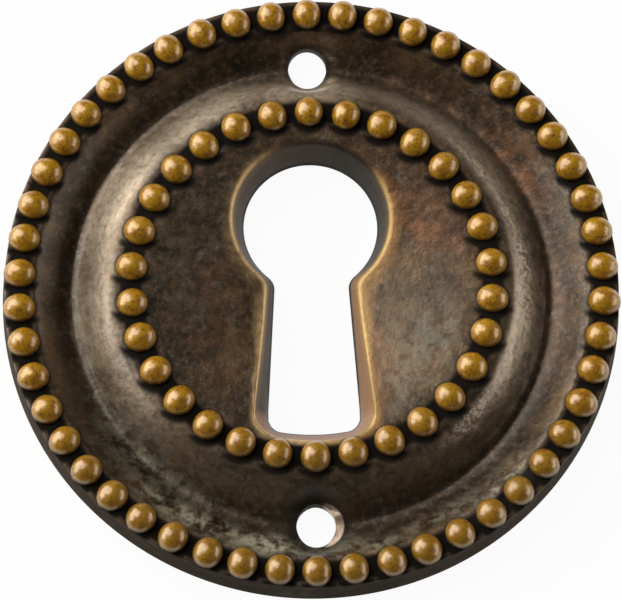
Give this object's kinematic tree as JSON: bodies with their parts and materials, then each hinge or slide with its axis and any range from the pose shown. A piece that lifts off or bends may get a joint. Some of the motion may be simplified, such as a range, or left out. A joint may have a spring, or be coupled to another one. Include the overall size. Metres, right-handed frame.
{
  "type": "keyhole escutcheon",
  "caption": "Round stamped brass plate with beaded rings, a cove between them, a dished middle and a lipped keyhole, pinned over the lock of a drawer or cupboard door.",
  "frame": {"origin": "centre of the plate, on the plane of its trimmed back rim", "axes": "+Z out of the face, +Y towards the round end of the keyhole, +X to the right of someone facing the plate"},
  "size_m": [0.038, 0.038, 0.0041],
  "materials": {
    "aged_brass": "aged brown patina, worn bright on the beads and on the keyhole's edge"
  },
  "bodies": {
    "root": {"escutcheon_plate": "aged_brass"}
  },
  "joints": []
}
